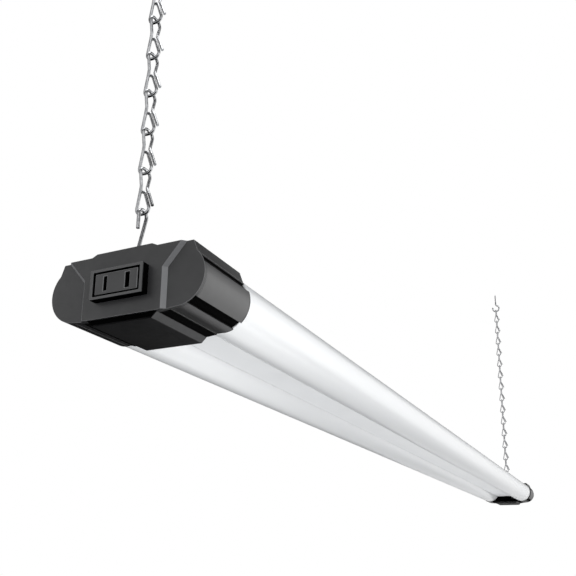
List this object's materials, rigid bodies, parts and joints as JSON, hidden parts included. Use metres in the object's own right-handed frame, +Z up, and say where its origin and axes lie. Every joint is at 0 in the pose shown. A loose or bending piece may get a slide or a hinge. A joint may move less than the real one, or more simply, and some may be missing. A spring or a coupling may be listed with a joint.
{
  "type": "hanging shop light",
  "caption": "Twin-tube LED shop light with black end caps and a pass-through outlet, hung level on two jack chains from ceiling screw hooks.",
  "frame": {"origin": "on the ceiling plane, midway between the shanks of the two screw hooks", "axes": "+Z up into the ceiling, +Y along the light from the outlet end to the cord end, +X to the right of someone who faces the outlet"},
  "size_m": [0.0886, 1.1576, 0.4115],
  "materials": {
    "hook_zinc": "bright zinc plate",
    "chain_zinc": "bright zinc plate",
    "black_plastic": "fine satin moulding",
    "face_plastic": "fine satin moulding",
    "outlet_plastic": "satin moulding",
    "diffuser": "frosted white polycarbonate",
    "white_paint": "white powder coat",
    "inner_white": "plain moulding",
    "pin_steel": "drawn rod",
    "screw_steel": "zinc plate",
    "contact_brass": "stamped strip",
    "rail_aluminium": "extruded strip",
    "board_white": "white solder mask",
    "chip_yellow": "phosphor face",
    "board_green": "green solder mask",
    "part_black": "plain moulding",
    "can_sleeve": "shrink sleeve",
    "terminal_green": "plain moulding",
    "wire_black": "smooth sleeve",
    "wire_white": "smooth sleeve",
    "wire_red": "smooth sleeve"
  },
  "bodies": {
    "ceiling_hooks": {"near_ceiling_hook": "hook_zinc", "far_ceiling_hook": "hook_zinc"},
    "top_links": {"near_top_link": "chain_zinc", "far_top_link": "chain_zinc"},
    "near_chain": {"near_chain_links": "chain_zinc", "near_s_hook": "chain_zinc"},
    "far_chain": {"far_chain_links": "chain_zinc", "far_s_hook": "chain_zinc"},
    "light": {"outlet_end_cap": "black_plastic", "cord_end_cap": "black_plastic", "outlet_end_cover": "black_plastic", "cord_end_cover": "black_plastic", "outlet_face_plate": "face_plastic", "cord_face_plate": "face_plastic", "outlet_hanger_pin": "pin_steel", "cord_hanger_pin": "pin_steel", "outlet_cap_screws": "screw_steel", "cord_cap_screws": "screw_steel", "outlet_tube_plugs": "inner_white", "cord_tube_plugs": "inner_white", "outlet_bezel": "outlet_plastic", "outlet_insert": "outlet_plastic", "outlet_contact_hot": "contact_brass", "outlet_contact_neutral": "contact_brass", "cord_gland": "part_black", "cord_gland_nut": "part_black", "spine_channel": "white_paint", "spine_cover": "white_paint", "left_tube": "diffuser", "right_tube": "diffuser", "left_led_rail": "rail_aluminium", "right_led_rail": "rail_aluminium", "left_led_board": "board_white", "right_led_board": "board_white", "left_led_chips": "chip_yellow", "right_led_chips": "chip_yellow", "left_led_wires": "wire_red", "right_led_wires": "wire_red", "driver_board": "board_green", "driver_standoffs": "inner_white", "driver_screws": "screw_steel", "driver_transformer": "part_black", "driver_capacitors": "can_sleeve", "driver_inductor": "part_black", "driver_fuse": "part_black", "driver_terminals": "terminal_green", "terminal_block": "terminal_green", "line_wire_hot": "wire_black", "line_wire_neutral": "wire_white", "feed_wires": "wire_black", "wire_saddles": "inner_white"}
  },
  "joints": [
    {"name": "side_swing", "type": "hinge", "parent": "ceiling_hooks", "child": "top_links", "pos_m": [0, 0, -0.0151], "axis": [0, 1, 0], "range_deg": [-30, 30]},
    {"name": "end_swing", "type": "hinge", "parent": "top_links", "child": "near_chain", "pos_m": [0, -0.5628, -0.0396], "axis": [1, 0, 0], "range_deg": [-20, 20]},
    {"name": "light_level", "type": "hinge", "parent": "near_chain", "child": "light", "pos_m": [0, -0.5628, -0.3624], "axis": [1, 0, 0], "range_deg": [-20, 20]},
    {"name": "far_chain_swing", "type": "hinge", "parent": "light", "child": "far_chain", "pos_m": [0, 0.5628, -0.3624], "axis": [1, 0, 0], "range_deg": [-20, 20]}
  ],
  "couplings": [
    {"joint": "light_level", "follows": "end_swing", "ratio": -1},
    {"joint": "far_chain_swing", "follows": "end_swing", "ratio": 1}
  ]
}
